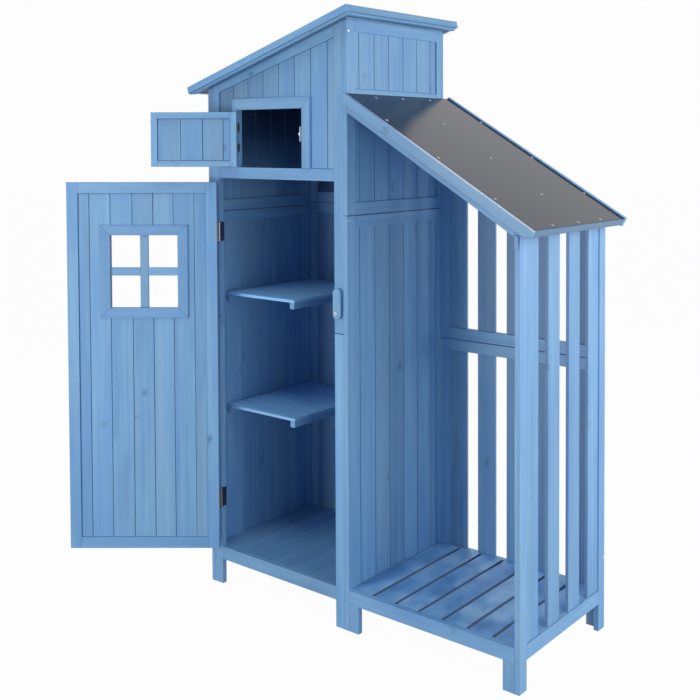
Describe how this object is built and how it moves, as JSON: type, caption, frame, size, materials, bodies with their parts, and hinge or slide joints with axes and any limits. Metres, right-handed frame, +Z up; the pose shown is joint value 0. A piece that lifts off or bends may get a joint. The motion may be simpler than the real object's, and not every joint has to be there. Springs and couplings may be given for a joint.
{
  "type": "wooden garden shed",
  "caption": "Tall narrow wooden shed on feet with a swinging front door, an upper hatch, shelves and a lean-to log store under a sheet roof.",
  "frame": {"origin": "centre of the bounding box in plan, at the level ground that the feet stand on, with the door at its rest angle", "axes": "+X to the right along the front, from the cabinet to the log store; +Y from the front to the back; +Z up"},
  "size_m": [1.5542, 0.7954, 1.7976],
  "materials": {
    "stained_wood": "matt blue stain on softwood",
    "roof_sheet": "smooth grey coated sheet",
    "hinge_steel": "dark plated",
    "bright_steel": "bright plated"
  },
  "bodies": {
    "shed": {"left_wall_lower_frame": "stained_wood", "left_wall_lower_boards": "stained_wood", "left_wall_upper_frame": "stained_wood", "left_wall_upper_boards": "stained_wood", "right_wall_lower_frame": "stained_wood", "right_wall_lower_boards": "stained_wood", "right_wall_upper_frame": "stained_wood", "right_wall_upper_boards": "stained_wood", "back_wall_lower_frame": "stained_wood", "back_wall_lower_boards": "stained_wood", "back_wall_upper_frame": "stained_wood", "back_wall_upper_boards": "stained_wood", "front_stiles": "stained_wood", "front_upper_frame": "stained_wood", "front_upper_boards": "stained_wood", "hatch_surround": "stained_wood", "hatch_door": "stained_wood", "cabinet_floor": "stained_wood", "shelf_lower": "stained_wood", "shelf_upper": "stained_wood", "main_roof_deck": "stained_wood", "main_roof_trim": "stained_wood", "store_roof_deck": "stained_wood", "store_roof_trim": "stained_wood", "store_side_frame": "stained_wood", "store_side_slats": "stained_wood", "store_back_lower_frame": "stained_wood", "store_back_lower_boards": "stained_wood", "store_back_upper_frame": "stained_wood", "store_back_upper_boards": "stained_wood", "store_front_beam": "stained_wood", "store_floor_frame": "stained_wood", "store_floor_slats": "stained_wood", "main_roof_sheet": "roof_sheet", "store_roof_sheet": "roof_sheet", "door_hinge_pins": "hinge_steel", "hatch_hinges": "hinge_steel", "hatch_catch": "bright_steel", "turn_button_screw": "bright_steel"},
    "door": {"door_frame": "stained_wood", "door_boards": "stained_wood", "door_window": "stained_wood", "door_hinge_leaves": "hinge_steel"},
    "turn_button": {"turn_button": "stained_wood"}
  },
  "joints": [
    {"name": "door_hinge", "type": "hinge", "parent": "shed", "child": "door", "pos_m": [-0.39535, -0.10126, 0.705], "axis": [0, 0, 1], "range_deg": [-26, 144]},
    {"name": "button_turn", "type": "hinge", "parent": "shed", "child": "turn_button", "pos_m": [0.11065, -0.10526, 0.921], "axis": [0, -1, 0], "range_deg": [0, 90]}
  ]
}
